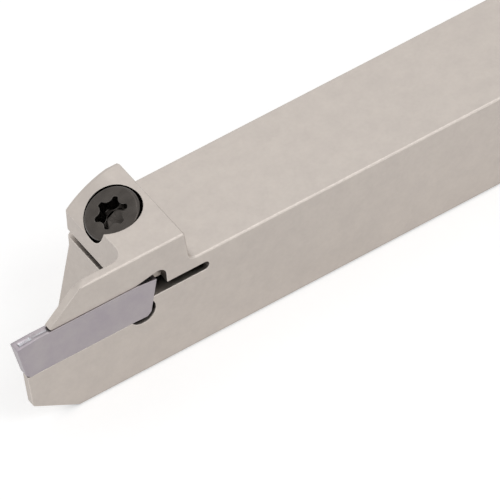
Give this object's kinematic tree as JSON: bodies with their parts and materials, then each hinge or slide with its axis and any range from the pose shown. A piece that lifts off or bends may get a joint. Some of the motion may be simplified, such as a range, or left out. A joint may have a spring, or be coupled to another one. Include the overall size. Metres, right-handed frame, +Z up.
{
  "type": "turning tool holder",
  "caption": "Square-shank parting and grooving tool holder with a thin spring-jaw blade, a long double-ended cutting insert and a tilted six-lobe clamp screw.",
  "frame": {"origin": "on the underside of the shank, half way along the tool and half way across it", "axes": "+X along the shank from the cutting tip to the plain end, -Y towards the front side that carries the blade, +Z up from the shank's underside to the cutting edge"},
  "size_m": [0.12, 0.0162, 0.0219],
  "materials": {
    "nickelled_steel": "satin, fine matt nickel-grey",
    "carbide": "fine ground, slightly violet grey coating",
    "black_oxide_steel": "black oxide, satin"
  },
  "bodies": {
    "holder": {"holder_body": "nickelled_steel", "cutting_insert": "carbide"},
    "screw": {"clamp_screw": "black_oxide_steel"}
  },
  "joints": [
    {"name": "clamp_screw_turn", "type": "hinge", "parent": "holder", "child": "screw", "pos_m": [-0.0391, 0.0015, 0.0203], "axis": [-0.4384, 0, 0.8988], "range_deg": [0, 720]}
  ]
}
